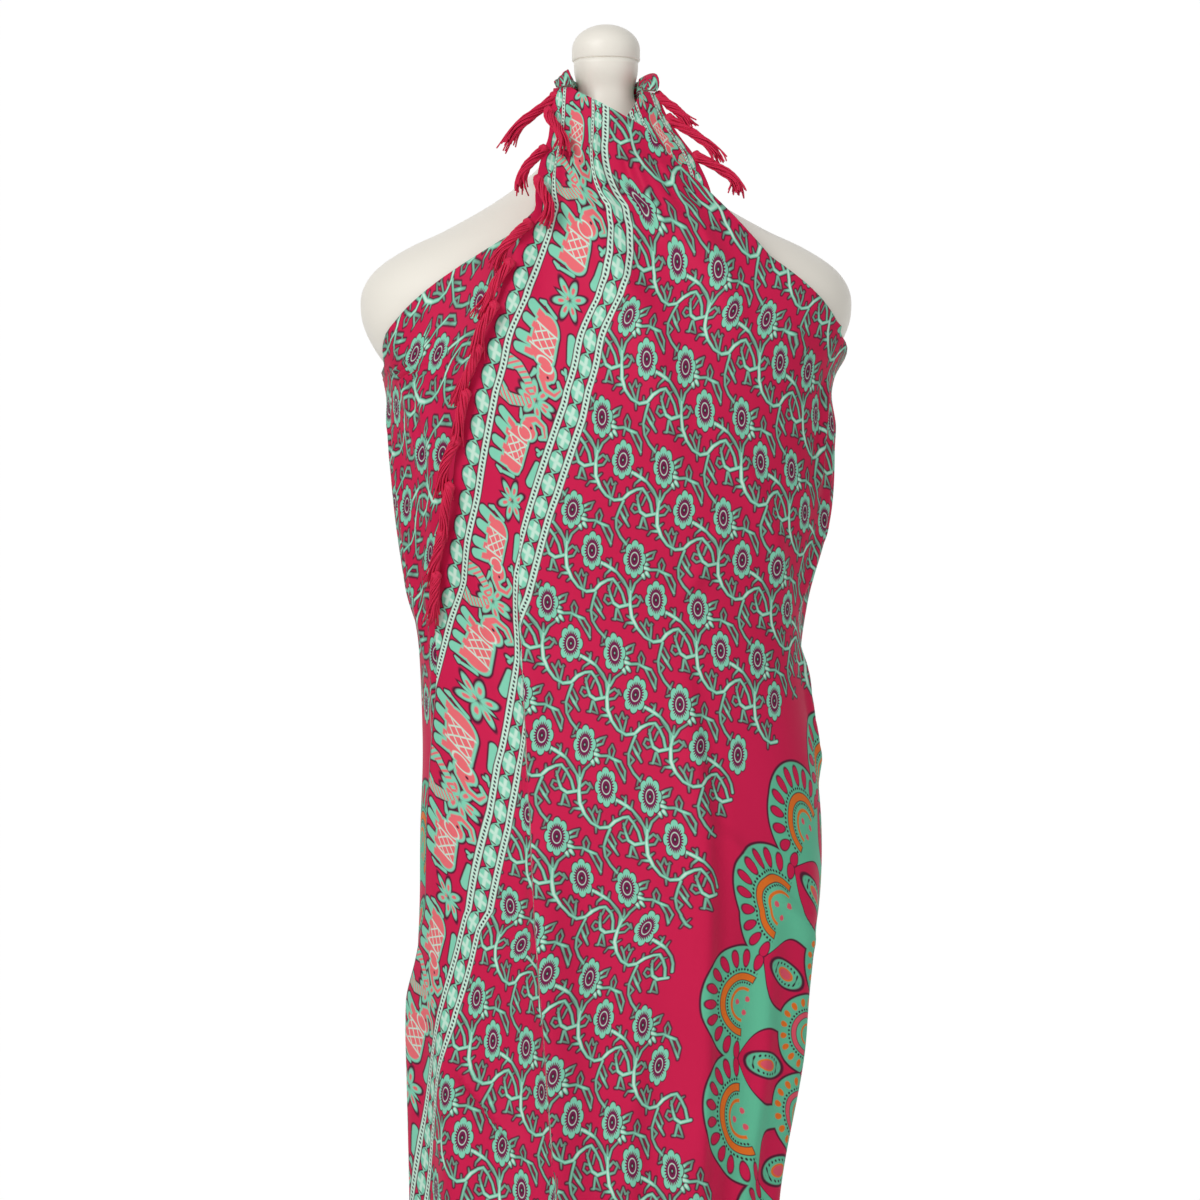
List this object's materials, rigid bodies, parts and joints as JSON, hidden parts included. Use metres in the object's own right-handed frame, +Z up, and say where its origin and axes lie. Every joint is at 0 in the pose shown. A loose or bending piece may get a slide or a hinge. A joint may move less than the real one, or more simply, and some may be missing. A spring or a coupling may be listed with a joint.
{
  "type": "halter-tied sarong on a limbless dress form",
  "caption": "Printed sarong wound round the body, crossed in front and knotted behind the neck, with tasselled short ends, on a limbless dress form with a pole stand.",
  "frame": {"origin": "centre of the stand base's underside", "axes": "+Z up along the stand's pole, the front of the wrap faces -Y, +X to the viewer's right"},
  "size_m": [0.426, 0.34, 1.5297],
  "materials": {
    "printed_cloth": "plain-woven printed viscose, softly lustrous",
    "fringe_thread": "twisted thread, matte",
    "form_shell": "smooth satin",
    "stand_paint": "satin"
  },
  "bodies": {
    "root": {"front_over": "printed_cloth", "front_under": "printed_cloth", "back_wrap": "printed_cloth", "tie_left": "printed_cloth", "tie_right": "printed_cloth", "nape_knot": "printed_cloth", "tail_left": "printed_cloth", "tail_right": "printed_cloth", "fringe_over": "fringe_thread", "fringe_under": "fringe_thread", "fringe_tail_left": "fringe_thread", "fringe_tail_right": "fringe_thread", "form_body": "form_shell", "form_cap": "form_shell", "stand_pole": "stand_paint", "stand_base": "stand_paint"}
  },
  "joints": []
}
